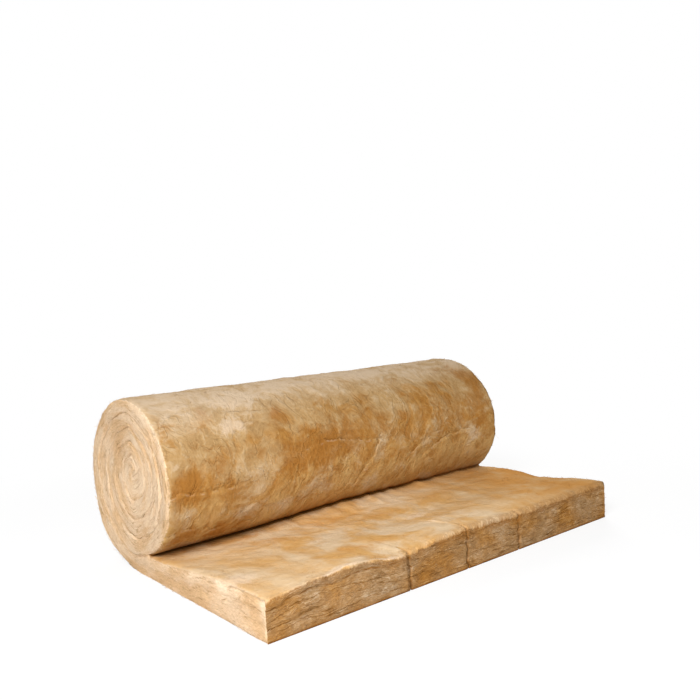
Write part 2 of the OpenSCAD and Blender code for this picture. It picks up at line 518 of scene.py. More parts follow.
# dark where no light gets in: along the nip, in the slits, at the foot and under the lip
def skinShades(xs, grid):
    shades = np.zeros(grid.shape[:2])
    thick = 1.25 - 0.25 * smoothStep(-0.4, 0.0, xs) - 0.4 * smoothStep(0.0, 0.5, xs)
    thick = thick * (0.35 + 0.65 * smoothStep(0.0, 0.03, halfWidth - np.abs(xs)))
    for step in range(nipShade[0][0], nipShade[-1][0]):
        shades[:, nipColumn + step] = thick * np.interp(step, *zip(*nipShade))
    inSlit = np.zeros(len(xs))
    for place in slitPlaces:
        inSlit = np.maximum(inSlit, 1 - 0.35 * np.clip(np.abs(xs - place) / mat["slitHalf"], 0, 9))
    inSlit = np.where(inSlit > 0.6, inSlit, 0)
    beads = 0.45 + 0.8 * ripple(grid[:, edgeColumn:, 2], 0.008, 7.1)
    shades[:, edgeColumn:] = np.clip(beads, 0.10, 0.85) * inSlit[:, None]
    foot = np.clip(0.70 + 0.5 * ripple(xs, 0.05, 3.9), 0.3, 0.95)
    crack = crackShare(xs) * np.clip(0.34 + 0.7 * ripple(xs, 0.022, 9.4), 0.06, 0.6)
    for column, dark in ((-1, foot), (-2, 0.5 * foot), (crackColumn, crack)):
        shades[:, column] = np.maximum(shades[:, column], dark)
    return shades


# how far the nearest crease is, and how much of one there is
def skinFolds(xs, shape):
    offs = np.full(shape, plainMarks["foldOff"])
    ons = np.zeros(shape)
    nearOffs, nearOns = offs[:, :nipColumn], ons[:, :nipColumn]
    angles = nipAngle(xs)[:, None] * np.arange(nipColumn)[None, :] / nipColumn
    for off, fade, deep in creaseOffsets(xs[:, None], angles):
        nearer = (np.abs(off) < np.abs(nearOffs)) & (np.abs(off) < creaseReach) & (fade > 0)
        on = 1 - smoothStep(0.6 * creaseReach, 0.9 * creaseReach, np.abs(off))
        on = fade * on * min(1, deep / creases[0][0])
        nearOffs[:] = np.where(nearer, off, nearOffs)
        nearOns[:] = np.where(nearer, on, nearOns)
    return offs, ons


# brown curls along the front edge, more of them to the right, and down the slits
def skinFrays(xs, grid):
    frays = 1 - smoothStep(0.0, 0.026, grid[..., 1] - frontY - notchDepth(xs)[:, None])
    frays = frays * (0.60 + 0.40 * smoothStep(-0.35, 0.0, xs))[:, None]
    frays[:, :nipColumn] = 0
    below = grid[:, edgeColumn:edgeColumn + 1, 2] - grid[:, edgeColumn:, 2]
    frays[:, edgeColumn:] *= 1 - smoothStep(0.004, 0.020, below)
    return frays


# where the cut end begins: a sharp border at the left, a soft one at the right
def skinFronts(xs, columnCount):
    sharp, soft = np.ones((2, columnCount))
    sharp[:edgeColumn + 3] = [0] * (edgeColumn - 2) + [0.08, 0.22, 0.50, 0.78, 0.92]
    soft[:edgeColumn + 3] = [0] * (edgeColumn - 1) + [0.2, 0.45, 0.65, 0.85]
    return sharp + (soft - sharp) * smoothStep(-0.25, 0.0, xs)[:, None]


def skinStill(grid):
    atNip = 0.85 * (1 - smoothStep(2, 9, np.abs(np.arange(grid.shape[1]) - nipColumn)))
    still = np.maximum(1 - smoothStep(0.0, 0.012, grid[..., 2]), atNip[None, :])
    still[(0, -1), edgeColumn:] = np.maximum(still[(0, -1), edgeColumn:], 0.75)
    return still


def buildSkin(work, xs, grid):
    stationCount, columnCount = grid.shape[:2]
    middle = grid[stationCount // 2 + 4]
    steps = np.linalg.norm(np.diff(middle[:nipColumn + 1, 1:], axis=0), axis=1)
    turnRun = mat["axisY"] - frontY + np.concatenate([[0], np.cumsum(steps)])
    along = np.concatenate([turnRun, middle[nipColumn + 1:edgeColumn + 1, 1] - frontY, np.zeros(rows)])
    depth = np.concatenate([np.zeros(nipColumn + 1), np.ones(tailCount), depthShares[::-1][1:]]) * thickness
    grains = np.gradient(grid, axis=1)
    grains[:, nipColumn + 1:] = (1, 0, 0)
    sides = np.zeros(grid.shape[:2])
    for first, share in ((0, 0.6), (nipColumn, 0.45), (edgeColumn, 0.32)):
        sides[(0, -1), first:] = share
    foldOffs, foldOns = skinFolds(xs, grid.shape[:2])
    marks = {
        "sideFace": sides,
        "frontFace": skinFronts(xs, columnCount),
        "still": skinStill(grid),
        "tone": skinTones(xs, grid, along),
        "fluff": skinFluff(xs, grid, along, depth),
        "shade": skinShades(xs, grid),
        "fray": skinFrays(xs, grid),
        "foldOff": foldOffs,
        "foldOn": foldOns,
    }
    index = np.zeros((stationCount, columnCount), int)
    for i, j in np.ndindex(stationCount, columnCount):
        here = {label: values[i, j] for label, values in marks.items()}
        index[i, j] = work.addPoint(grid[i, j], grains[i, j], **here)
    for station in (0, -1):
        work.corners.update(index[station, edgeColumn:])
    for i, j in np.ndindex(stationCount - 1, columnCount - 1):
        corners = (index[i, j], index[i + 1, j], index[i + 1, j + 1], index[i, j + 1])
        near, nearDepth, far, farDepth = along[j], depth[j], along[j + 1], depth[j + 1]
        if j == nipColumn:  # the nip is on both faces of the mat
            near, nearDepth = middle[nipColumn, 1] - frontY, thickness
        here, there = xs[i], xs[i + 1]
        work.addFace(corners, ((near, here, nearDepth), (near, there, nearDepth),
                               (far, there, farDepth), (far, here, farDepth)))
    return index


# the seam between turns on a cut end, as (Y, Z) by column, with its tangent and angle
def seamLine(nip, sign):
    last = int(np.argmax(columnAngle(np.arange(8 * (nipColumn + underCount)), nip) >= eyeAngle))
    steps = np.arange(last + 1)
    angles = columnAngle(steps, nip)
    seam = spiralPoint(angles)
    tangent = np.gradient(seam, axis=0)
    normal = np.stack([tangent[:, 1], -tangent[:, 0]], axis=-1)
    normal /= np.maximum(np.linalg.norm(normal, axis=-1, keepdims=True), 1e-9)
    loose = smoothStep(nipColumn, nipColumn + 30, steps) * (1 - smoothStep(last - 60, last, steps))
    wander = waves(seam[:, 0] / 0.075, seam[:, 1] / 0.075, 3.1 * sign)
    wander = wander + 0.4 * waves(seam[:, 0] / 0.022, seam[:, 1] / 0.022, 9.7 * sign)
    fromPoint = np.abs((angles + 90) % 180 - 90)
    kink = (np.exp(-fromPoint / 20) - 0.25) * meshing["seamKink"]
    return seam + normal * ((meshing["seamWander"] * wander + kink) * loose)[:, None], tangent, angles


# tone of a cut end: i counts columns round the roll, and is below 0 on the tail
def endTone(place, d, i, sign):
    tone = 0.4 * smoothStep(-20, 60, i)
    if sign > 0:
        return tone
    if i >= -underCount:
        return tone + patchTone(place[0], place[1], endPatches)
    for at, reach, down, strength in sideTufts:
        off = (place[0] - frontY - at) / reach
        tone += strength * math.exp(-off ** 2 - ((1 - d) / down) ** 2)
    return tone


# a cut end of the mat: the side of the tail, and then the turns of the roll in one winding strip
def buildCutEnd(work, xs, grid, index, station, sign):
    seam, tangent, seamAngles = seamLine(float(nipAngle(xs[station])), sign)
    last = len(seam) - 1
    steps = np.arange(last + 1)
    dishes = meshing["dish"] * smoothStep(300, 900, seamAngles)
    deeps = meshing["seamDepth"] * smoothStep(nipColumn, nipColumn + 12, steps)
    deeps = deeps * (1 - 0.9 * smoothStep(last - 200, last, steps))
    # painted shade along the grooves between turns, broken up
    dark = np.clip(0.25 + 0.7 * waves(seam[:, 0] / 0.02, seam[:, 1] / 0.02, 5.5 * sign), 0.0, 0.55)
    dark = dark * (1 - smoothStep(last - 260, last - 80, steps))
    seamIndex = list(index[station, :nipColumn + 1])
    for i in range(nipColumn + 1, last + 1):
        place = (sign * (halfWidth - deeps[i] - dishes[i]), *seam[i])
        seamIndex.append(work.addPoint(place, (0, *tangent[i]), sideFace=1.0, shade=dark[i]))

    # the lower edge of the tail, from its cut end to below the axis
    nipY = grid[station, nipColumn, 1]
    tailEnd = tailCount + underCount
    lowerEdge = [index[station, -1]]
    for c in range(1, tailEnd):
        y = nipY + (mat["axisY"] - nipY) * (c - tailCount) / underCount
        if c <= tailCount:
            y = grid[station, edgeColumn - c, 1]
        place = (sign * (halfWidth - meshing["sideInset"]), y, 0.0)
        lowerEdge.append(work.addPoint(place, (0, 1, 0), sideFace=0.8, still=1.0))
    lowerEdge.append(index[station, 0])

    columns = tailEnd + last + 1
    lower = lowerEdge + seamIndex[1:]
    upper = [index[station, edgeColumn - c] for c in range(tailCount + 1)]
    upper += [seamIndex[min(nipColumn + c - tailCount, last)] for c in range(tailCount + 1, columns)]
    lowerAt = np.array([work.points[p][1:] for p in lower])
    upperAt = np.array([work.points[p][1:] for p in upper])
    middle = 0.5 * (lowerAt + upperAt)
    runs = np.concatenate([[0], np.cumsum(np.linalg.norm(np.diff(middle, axis=0), axis=1))])
    grains = np.gradient(middle, axis=0)
    strip = np.zeros((columns, rows + 1), int)
    strip[:, 0], strip[:, rows] = lower, upper
    strip[0, 1:rows] = index[station, -2:-rows - 1:-1]
    strip[-1] = seamIndex[last]  # the strip closes in the eye
    atSeam = (meshing["seamDepth"], meshing["seamHalf"])  # depth and half width of the groove along an edge
    for c in range(1, columns - 1):
        i = c - tailEnd
        wall = np.linalg.norm(upperAt[c] - lowerAt[c])
        lowDeep, lowHalf = atSeam
        if i <= nipColumn:
            lowDeep, lowHalf = (meshing["sideInset"], 0.004) if i < 0 else (meshing["rimRecess"], 0.006)
        highDeep, highHalf = atSeam if c > tailCount else (meshing["rimRecess"], 0.006)
        outerDish = dishes[min(max(i, 0), last)]
        innerDish = dishes[min(max(i + nipColumn + underCount, 0), last)] if c > tailCount else 0.0
        for r in range(1, rows):
            d = depthShares[r]
            place = lowerAt[c] + (upperAt[c] - lowerAt[c]) * d
            low = lowDeep * math.exp(-(d * wall / lowHalf) ** 1.3)
            high = highDeep * math.exp(-((1 - d) * wall / highHalf) ** 1.3)
            sink = outerDish * (1 - d) + innerDish * d
            tone = endTone(place, d, i, sign)
            strip[c, r] = work.addPoint((sign * (halfWidth - max(low, high) - sink), *place), (0, *grains[c]),
                                        sideFace=1.0, tone=tone, fluff=0.15 * max(tone - 2.4, 0))
    x = sign * halfWidth
    for c, r in np.ndindex(columns - 1, rows):
        corners = (strip[c, r], strip[c + 1, r], strip[c + 1, r + 1], strip[c, r + 1])
        low, high = depthShares[r] * thickness, depthShares[r + 1] * thickness
        near, far = runs[c], runs[c + 1]
        work.addFace(corners, ((near, x, low), (far, x, low), (far, x, high), (near, x, high)))
    return lowerEdge


def buildMat():
    work = MatMesh()
    xs, grid = skinGrid()
    index = buildSkin(work, xs, grid)
    left = buildCutEnd(work, xs, grid, index, 0, -1)
    right = buildCutEnd(work, xs, grid, index, len(xs) - 1, 1)
    # the underside lies flat on the floor, as one face
    loop = list(index[:, -1]) + right[1:] + list(index[-2::-1, 0]) + left[-2:0:-1]
    work.addFace(loop, [(work.points[p][1] - frontY, work.points[p][0], 0.0) for p in loop])
    return work


def matObject(work, name):
    mesh = bpy.data.meshes.new(name)
    mesh.from_pydata(work.points, [], work.faces)
    mesh.update()

    def addLayer(label, kind, domain, key, values):
        layer = mesh.attributes.new(label, kind, domain)
        layer.data.foreach_set(key, np.array(values, np.float32).ravel())

    addLayer("matCoord", "FLOAT_VECTOR", "CORNER", "vector", work.coords)
    addLayer("grain", "FLOAT_VECTOR", "POINT", "vector", work.grains)
    for label, values in zip(plainMarks, zip(*work.marks)):
        addLayer(label, "FLOAT", "POINT", "value", values)
    shape = bmesh.new()
    shape.from_mesh(mesh)
    bmesh.ops.recalc_face_normals(shape, faces=shape.faces)
    openEdges = sum(len(edge.link_faces) != 2 for edge in shape.edges)
    for edge in shape.edges:
        edge.smooth = not all(point.index in work.corners for point in edge.verts)
    volume = round(shape.calc_volume(signed=True), 4)
    print("mat:", len(shape.faces), "faces,", openEdges, "open edges, volume", volume)
    shape.to_mesh(mesh)
    shape.free()
    mesh.polygons.foreach_set("use_smooth", np.ones(len(mesh.polygons), bool))
    mesh.update()
    piece = bpy.data.objects.new(name, mesh)
    scene.collection.objects.link(piece)
    return piece


# a node tree, with short calls for the nodes used most; an input is a value or another node's socket
class NodeTree:
    def __init__(self, tree):
        self.tree = tree

    def node(self, kind, inputs=None, **settings):
        node = self.tree.nodes.new(kind)
        for key, value in settings.items():
            setattr(node, key, value)
        for key, value in (inputs or {}).items():
            if isinstance(value, bpy.types.NodeSocket):
                self.tree.links.new(value, node.inputs[key])
            else:
                node.inputs[key].default_value = value
        return node

    def maths(self, operation, *values):
        return self.node("ShaderNodeMath", dict(enumerate(values)), operation=operation).outputs[0]

    def times(self, a, b):
        return self.maths("MULTIPLY", a, b)

    def less(self, a, b):
        return self.maths("SUBTRACT", a, b)

    # a part, by so much, on top of a value
    def plus(self, part, gain, value):
        return self.maths("MULTIPLY_ADD", part, gain, value)

    def vectors(self, operation, *values):
        return self.node("ShaderNodeVectorMath", dict(enumerate(values)), operation=operation).outputs[0]

    def scale(self, vector, gain):
        return self.node("ShaderNodeVectorMath", {0: vector, "Scale": gain}, operation="SCALE").outputs[0]

    def join(self, x, y, z):
        return self.node("ShaderNodeCombineXYZ", {0: x, 1: y, 2: z}).outputs[0]

    def noise(self, vector, scale, detail=2.0, rough=0.5, output="Fac"):
        inputs = {"Vector": vector, "Scale": scale, "Detail": detail, "Roughness": rough}
        return self.node("ShaderNodeTexNoise", inputs).outputs[output]

    def spread(self, value, low, high, toLow=0.0, toHigh=1.0):
        inputs = {"Value": value, "From Min": low, "From Max": high, "To Min": toLow, "To Max": toHigh}
        return self.node("ShaderNodeMapRange", inputs, interpolation_type="SMOOTHSTEP").outputs["Result"]

    def mix(self, share, a, b):
        inputs = {"Factor": share, "A": a, "B": b}
        return self.node("ShaderNodeMix", inputs, data_type="FLOAT").outputs["Result"]

    def mixColour(self, share, a, b):
        return self.node("ShaderNodeMix", {0: share, 6: a, 7: b}, data_type="RGBA").outputs[2]

    def ramp(self, value, stops):
        node = self.node("ShaderNodeValToRGB", {"Fac": value})
        elements = node.color_ramp.elements
        while len(elements) < len(stops):
            elements.new(0.5)
        for element, (position, colour) in zip(elements, stops):
            element.position = position
            element.color = (*colour, 1)
        return node.outputs["Color"]

    def attribute(self, name, output="Fac"):
        return self.node("ShaderNodeAttribute", attribute_name=name).outputs[output]

    def named(self, label, kind="FLOAT"):
        node = self.node("GeometryNodeInputNamedAttribute", {"Name": label}, data_type=kind)
        return node.outputs["Attribute"]


# empties the nodes of a material or a world
def emptyTree(owner):
    owner.use_nodes = True
    owner.node_tree.nodes.clear()
    return NodeTree(owner.node_tree)


# colours of the wool at three tones, dark to pale; each face has a warm and a cool set
toneStops = (0.30, 0.50, 0.70)
woolColours = {
    "outerWarm": ((0.235, 0.094, 0.020), (0.390, 0.192, 0.050), (0.555, 0.362, 0.150)),
    "outerCool": ((0.280, 0.150, 0.052), (0.440, 0.276, 0.121), (0.610, 0.470, 0.312)),
    "innerWarm": ((0.510, 0.250, 0.072), (0.665, 0.378, 0.135), (0.790, 0.540, 0.245)),
    "innerCool": ((0.575, 0.400, 0.210), (0.730, 0.540, 0.335), (0.880, 0.710, 0.520)),
    "sideWarm": ((0.48, 0.287, 0.135), (0.745, 0.495, 0.275), (0.93, 0.690, 0.440)),
    "sideCool": ((0.545, 0.362, 0.217), (0.81, 0.595, 0.390), (0.96, 0.795, 0.590)),
    # the cut end is darker: partly its own colour, with dark gaps between the fibres, and partly painted
    # shade
    "frontWarm": ((0.170, 0.064, 0.010), (0.395, 0.178, 0.040), (0.600, 0.345, 0.115)),
    "frontCool": ((0.205, 0.104, 0.036), (0.395, 0.240, 0.112), (0.630, 0.482, 0.330)),
}
spotColours = {
    "outerPale": (0.65, 0.495, 0.350, 1),
    "innerPale": (0.82, 0.620, 0.430, 1),
    "outerAmber": (0.335, 0.138, 0.026, 1),
    "innerAmber": (0.63, 0.310, 0.095, 1),
    # painted light on top of the roll
    "topLight": (0.60, 0.455, 0.310, 1),
    "fray": (0.24, 0.090, 0.020, 1),
    "fringe": (0.42, 0.225, 0.080, 1),
    # painted shade in the creases
    "fold": (0.16, 0.068, 0.016, 1),
    "dimShade": (0.27, 0.108, 0.022, 1),  # painted shade: dim where light gets in a little, and near black where none does
    "crevice": (0.050, 0.018, 0.003, 1),
}

# noises of the wool: scales along, across and through the mat, detail, roughness, shift
woolNoises = {
    "clouds": ((9, 9, 9), 4, 0.60, (0, 0, 0)),
    "flocks": ((34, 34, 34), 3, 0.60, (3.1, 1.7, 0.4)),
    "fine": ((110, 110, 110), 2, 0.60, (6.2, 3.4, 1.8)),
    "rag": ((170, 170, 170), 1, 0.50, (2.2, 8.1, 4.7)),
    "rollStrands": ((8, 80, 30), 2, 0.55, (4.6, 0.3, 7.7)),
    "tailStrands": ((60, 14, 30), 2, 0.55, (0.8, 5.2, 3.9)),
    "combing": ((5, 5, 5), 2, 0.60, (2.7, 8.8, 1.3)),
    "curl": ((26, 30, 28), 1, 0.50, (9.3, 4.1, 2.7)),
    "outerWarmth": ((11, 10, 10), 4, 0.62, (7.3, 2.9, 5.1)),
    "innerWarmth": ((9, 12, 10), 4, 0.55, (1.9, 6.4, 8.8)),
    "crumbs": ((130, 130, 260), 3, 0.70, (1.2, 4.4, 7.9)),
    "cutWarmth": ((10, 10, 14), 2, 0.50, (4.2, 0.7, 3.3)),
    "layers": ((16, 16, 120), 4, 0.60, (0, 0, 0)),
    "fineLayers": ((45, 45, 380), 4, 0.70, (0, 0, 0)),
    "sideBreaks": ((23, 23, 55), 1, 0.50, (9.9, 2.2, 5.5)),
    "frontBreaks": ((11.5, 11.5, 55), 1, 0.50, (9.9, 2.2, 5.5)),
}
# lines where a noise crosses its middle: scales, width of the line, shift
woolLines = {
    "arcs": ((4, 45, 30), 0.030, (8.3, 0, 0)),
    "wrinkles": ((12, 24, 20), 0.035, (6.6, 1.2, 3.4)),
    "sideGaps": ((10, 10, 85), 0.034, (2.6, 9.1, 0.2)),
    "frontGaps": ((5, 5, 85), 0.030, (2.6, 9.1, 0.2)),
    "ridges": ((18, 18, 110), 0.035, (5.7, 1.1, 6.6)),
    "dashes": ((40, 40, 170), 0.040, (3.9, 7.2, 1.1)),
    "flecks": ((45, 45, 190), 0.030, (7.4, 0.6, 2.8)),
    "curls": ((100, 100, 100), 0.080, (0, 0, 0)),
    "ticks": ((20, 90, 20), 0.070, (1.4, 2.9, 0.8)),
}
# how the layers of a cut face are pushed about in depth, one after another: scale, reach
layerPushes = {
    "side": ((28, 0.013), (6, 0.020), (110, 0.006)),
    "front": ((40, 0.006), (5, 0.024), (90, 0.005)),
}
# how much each of them shifts the tone
toneWeights = {
    "patch": 0.05, "fibre": 0.045, "clouds": 0.30, "flocks": 0.33, "fine": 0.17, "strands": 0.055,
    "tailStrands": 0.022, "arcs": 0.050, "wrinkles": -0.045, "crumples": 0.045, "base": -0.012, "bands": 0.06,
    "layers": 0.13, "fineLayers": 0.32, "gaps": -0.30, "ridges": 0.17, "dashes": -0.09, "flecks": 0.09,
    "sideCrumbs": 0.50, "frontCrumbs": 0.34, "frontFlocks": 0.28, "dimmed": -0.18,
}
# contrast of the layers, and of the lines between them
cutContrast = {"side": (1.0, 0.7), "front": (0.9, 0.65)}
# noise values where a face is all cool and all warm
warmRanges = {"outer": (0.47, 0.67), "inner": (0.36, 0.66), "side": (0.36, 0.62), "front": (0.27, 0.75)}
# how much each of them stands up
bumpHeights = {
    "flocks": 0.7, "strands": 0.10, "wrinkles": -0.14, "crumples": 0.10, "foldDark": -0.22, "foldLip": 0.15,
    "tailFlocks": 0.5, "tailStrands": 0.05, "fine": 0.2, "front": 0.5, "side": 1.1,
}
woolFinish = {
    "patchWarmth": -0.06,  # how much patches shift the warmth
    "patchShare": 0.60,  # how far their middles go to the pale or amber colour
    "patchRange": (0.35, 1.30),
    "leanFrom": 1.60,  # places along the mat: strands lean from here, the roll is warm and painted paler in the low band, as painted light
    "lowBand": (1.58, 1.76),
    "topRise": (1.18, 1.36),  # and painted pale on top, as painted light
    "topFall": (1.38, 1.54),
    "sideOfRoll": (0.50, 0.80),
    # places across it: strands set in, the tail is lively, painted darker towards the right as painted shade,
    # and its edge frays
    "combedX": (-0.40, 0.10),
    "livelyRise": (-0.46, -0.30),
    "livelyFall": (0.0, 0.24),
    "dullX": (0.10, 0.50),
    "frayX": (-0.15, 0.10),
    "foldWidth": 0.0030,
    "foldLipAt": 0.0060,
    "foldLipWidth": 0.0045,
    "bump": 0.7,
    "bumpDepth": 0.010,
}


def makeWool():
    material = bpy.data.materials.new("glassWool")
    tree = emptyTree(material)
    times, less, plus, spread = tree.times, tree.less, tree.plus, tree.spread
    mixColour, attribute = tree.mixColour, tree.attribute
    finish = woolFinish
    coord = attribute("matCoord", "Vector")
    along, across, deep = tree.node("ShaderNodeSeparateXYZ", {0: coord}).outputs
    inner = spread(deep, 0.3 * mat["thickness"], 0.7 * mat["thickness"])
    patches = attribute("tone")

    def noiseAt(base, scales, detail, rough, shift):
        return tree.noise(tree.vectors("MULTIPLY_ADD", base, scales, shift), 1.0, detail, rough)

    def grain(base, label):
        return noiseAt(base, *woolNoises[label])

    def push(base, scale, reach, onto):
        aside = tree.vectors("SUBTRACT", tree.noise(base, scale, output="Color"), (0.5, 0.5, 0.5))
        return tree.vectors("MULTIPLY_ADD", aside, reach, onto)

    def pushDeep(steps):
        place = coord
        for scale, reach in steps:
            place = push(coord, scale, (0.0, 0.0, reach), place)
        return place

    # 1 where a value is at its middle, and 0 past the width to either side
    def nearTo(value, middle, width):
        return spread(tree.maths("ABSOLUTE", less(value, middle)), 0.0, width, 1.0, 0.0)

    def lines(base, label):
        scales, width, shift = woolLines[label]
        return nearTo(noiseAt(base, scales, 1.0, 0.5, shift), 0.5, width)

    # keeps a value in some places only
    def patchy(value, scale, low, high, least=0.0, detail=2.0):
        return times(value, spread(tree.noise(coord, scale, detail), low, high, least, 1.0))

    # adds a noise to a value, about its middle
    def blend(value, part, gain):
        return plus(less(part, 0.5), gain, value)

    # the place is pushed about before it is read: wide sweeps, then curls; on the cut faces only in depth
    swept = push(coord, 6.0, (0.10, 0.10, 0.03), coord)
    curled = push(swept, 22.0, (0.024, 0.024, 0.010), swept)
    layered = pushDeep(layerPushes["side"])
    laid = pushDeep(layerPushes["front"])
    clouds = grain(curled, "clouds")
    flocks = grain(curled, "flocks")
    fine = grain(coord, "fine")
    rag = grain(coord, "rag")
    # borders between the faces are ragged
    side = spread(blend(attribute("sideFace"), rag, 1.0), 0.40, 0.56)
    front = spread(blend(blend(attribute("frontFace"), rag, 0.5), flocks, 0.8), 0.30, 0.70)

    # strands: round the roll, leaning below its middle and less of them at its left, and across the tail
    lean = times(tree.maths("MAXIMUM", less(along, finish["leanFrom"]), 0.0), 0.7)
    leaning = tree.vectors("ADD", swept, tree.join(0.0, lean, 0.0))
    rollStrands = spread(grain(leaning, "rollStrands"), 0.36, 0.64)
    tailStrands = spread(grain(swept, "tailStrands"), 0.36, 0.64)
    combed = spread(across, *finish["combedX"], 0.25, 1.0)
    combed = times(combed, spread(grain(coord, "combing"), 0.38, 0.62, 0.2, 1.0))
    arcs = patchy(lines(leaning, "arcs"), 10.0, 0.48, 0.62)
    wrinkles = patchy(lines(curled, "wrinkles"), 8.0, 0.46, 0.60)
    # short curls crossing them, dark and pale side by side
    curl = grain(curled, "curl")
    crumples = less(nearTo(curl, 0.53, 0.030), nearTo(curl, 0.48, 0.030))
    crumples = patchy(crumples, 12.0, 0.48, 0.62, detail=3.0)

    common = plus(attribute("strandTone"), toneWeights["fibre"], 0.5)
    common = plus(patches, toneWeights["patch"], common)
    # painted light: the roll is painted paler on top and in the low band, and it is warmer below
    low = spread(along, *finish["lowBand"])
    high = times(spread(along, *finish["topRise"]), spread(along, *finish["topFall"], 1.0, 0.0))
    outerTone = plus(arcs, toneWeights["arcs"], less(common, -toneWeights["base"]))
    outerTone = plus(plus(low, 2.4, high), toneWeights["bands"], outerTone)
    outerTone = blend(outerTone, rollStrands, times(combed, toneWeights["strands"]))
    skinParts = ((clouds, "clouds"), (flocks, "flocks"), (fine, "fine"))
    for part, label in skinParts:
        outerTone = blend(outerTone, part, toneWeights[label])
    for part, label in ((wrinkles, "wrinkles"), (crumples, "crumples")):
        outerTone = plus(part, toneWeights[label], outerTone)
    # the middle of the tail is livelier than its two ends
    lively = times(spread(across, *finish["livelyRise"]), spread(across, *finish["livelyFall"], 1.0, 0.0))
    calm = spread(lively, 0.0, 1.0, 0.28, 0.56)
    # painted shade: the tail darkens and warms towards the right, away from the light
    dimmed = spread(across, *finish["dullX"])
    innerTone = plus(dimmed, toneWeights["dimmed"], common)
    for part, label in (*skinParts, (tailStrands, "tailStrands")):
        innerTone = blend(innerTone, part, times(calm, toneWeights[label]))

    # warmth runs its own way: round patches on the outer face, long ones across the inner face
    def warmShare(value, face, gain=1.0):
        warm = plus(patches, finish["patchWarmth"], blend(0.5, value, gain))
        return spread(warm, *warmRanges[face])

    # the top is painted cooler as part of its painted light, and the low band warmer
    bands = plus(low, 1.5, times(high, -1.0))
    outerWarmth = warmShare(plus(bands, 0.11, grain(curled, "outerWarmth")), "outer")
    innerWarmth = plus(dimmed, 0.10, grain(curled, "innerWarmth"))
    innerWarmth = warmShare(innerWarmth, "inner", spread(lively, 0.0, 1.0, 0.6, 1.0))
    # crisp pale and amber patches where they stand out
    spots = blend(blend(patches, flocks, 2.0), fine, 0.8)
    pale = times(spread(spots, *finish["patchRange"]), finish["patchShare"])
    amber = times(spread(times(spots, -1.0), *finish["patchRange"]), finish["patchShare"])

    # warm and cool colours of one face, mixed
    def faceColour(face, tone, warmth):
        stops = [tuple(zip(toneStops, woolColours[face + kind])) for kind in ("Cool", "Warm")]
        return mixColour(warmth, tree.ramp(tone, stops[0]), tree.ramp(tone, stops[1]))

    def skinColour(face, tone, warmth):
        colour = mixColour(amber, faceColour(face, tone, warmth), spotColours[face + "Amber"])
        return mixColour(pale, colour, spotColours[face + "Pale"])

    outerColour = skinColour("outer", outerTone, outerWarmth)
    # painted highlight: the top of the roll goes paler and cooler, as where the light falls
    topLightShare = times(high, spread(blend(clouds, flocks, 0.5), 0.36, 0.62, 0.30, 1.0))
    outerColour = mixColour(topLightShare, outerColour, spotColours["topLight"])
    # creases: a painted shade line, and a painted highlight on the lip below it
    foldAt = blend(blend(attribute("foldOff"), flocks, 0.020), fine, 0.008)
    foldOn = patchy(attribute("foldOn"), 30.0, 0.44, 0.62, 0.05)
    foldDark = times(nearTo(foldAt, 0.0, finish["foldWidth"]), foldOn)
    foldLip = times(nearTo(foldAt, finish["foldLipAt"], finish["foldLipWidth"]), foldOn)
    outerColour = mixColour(times(foldDark, 0.45), outerColour, spotColours["fold"])
    outerColour = mixColour(times(foldLip, 0.30), outerColour, spotColours["outerPale"])
    colour = mixColour(inner, outerColour, skinColour("inner", innerTone, innerWarmth))

    # cut faces show the layers of the mat edge on, crumbly, with broken dark and pale lines between them
    crumbs = grain(layered, "crumbs")
    cutWarmth = blend(grain(coord, "cutWarmth"), crumbs, 0.5)

    def cutLayers(base, face):
        gain, lineGain = cutContrast[face]
        tone = blend(0.5, common, gain)
        for label in ("layers", "fineLayers"):
            tone = blend(tone, grain(base, label), gain * toneWeights[label])
        broken = spread(grain(base, face + "Breaks"), 0.42, 0.56)
        parts = {
            "gaps": times(broken, lines(base, face + "Gaps")),
            "ridges": times(broken, lines(base, "ridges")),
            "dashes": lines(base, "dashes"),
            "flecks": lines(base, "flecks"),
        }
        for label, part in parts.items():
            tone = plus(part, lineGain * toneWeights[label], tone)
        return tone

    sideTone = blend(cutLayers(layered, "side"), crumbs, toneWeights["sideCrumbs"])
    ofRoll = spread(along, *finish["sideOfRoll"])  # the side of the tail is a little darker and plainer
    sideTone = blend(tree.mix(ofRoll, 0.465, 0.5), sideTone, tree.mix(ofRoll, 0.66, 1.0))
    frontTone = blend(cutLayers(laid, "front"), crumbs, toneWeights["frontCrumbs"])
    frontTone = blend(frontTone, flocks, toneWeights["frontFlocks"])
    # dark layers of the side are the warmer ones
    sideWarmth = warmShare(blend(cutWarmth, sideTone, -0.5), "side")
    frontWarmth = warmShare(cutWarmth, "front")
    colour = mixColour(front, colour, faceColour("front", frontTone, frontWarmth))
    colour = mixColour(side, colour, faceColour("side", sideTone, sideWarmth))
    # brown curls along the front edge, and ticks down from it at the right
    fray = attribute("fray")
    curls = times(lines(coord, "curls"), spread(front, 0.0, 1.0, 0.35, 0.6))
    bites = times(spread(blend(flocks, fine, 0.8), 0.46, 0.60), spread(front, 0.0, 0.6, 0.3, 0.5))
    ticks = times(times(lines(coord, "ticks"), front), spread(across, *finish["frayX"], 0.0, 0.8))
    ticks = times(ticks, spread(flocks, 0.40, 0.60))
    frayed = tree.maths("MAXIMUM", tree.maths("MAXIMUM", curls, bites), ticks)
    fringe = times(spread(fine, 0.35, 0.60, 0.4, 1.0), spread(across, *finish["frayX"], 0.0, 0.50))
    colour = mixColour(times(fringe, fray), colour, spotColours["fringe"])
    colour = mixColour(times(frayed, fray), colour, spotColours["fray"])
    # painted shade from the shade mark: dim brown, then near black where no light gets in
    shade = attribute("shade")
    colour = mixColour(spread(shade, 0.0, 0.6), colour, spotColours["dimShade"])
    colour = mixColour(spread(shade, 0.45, 1.0), colour, spotColours["crevice"])

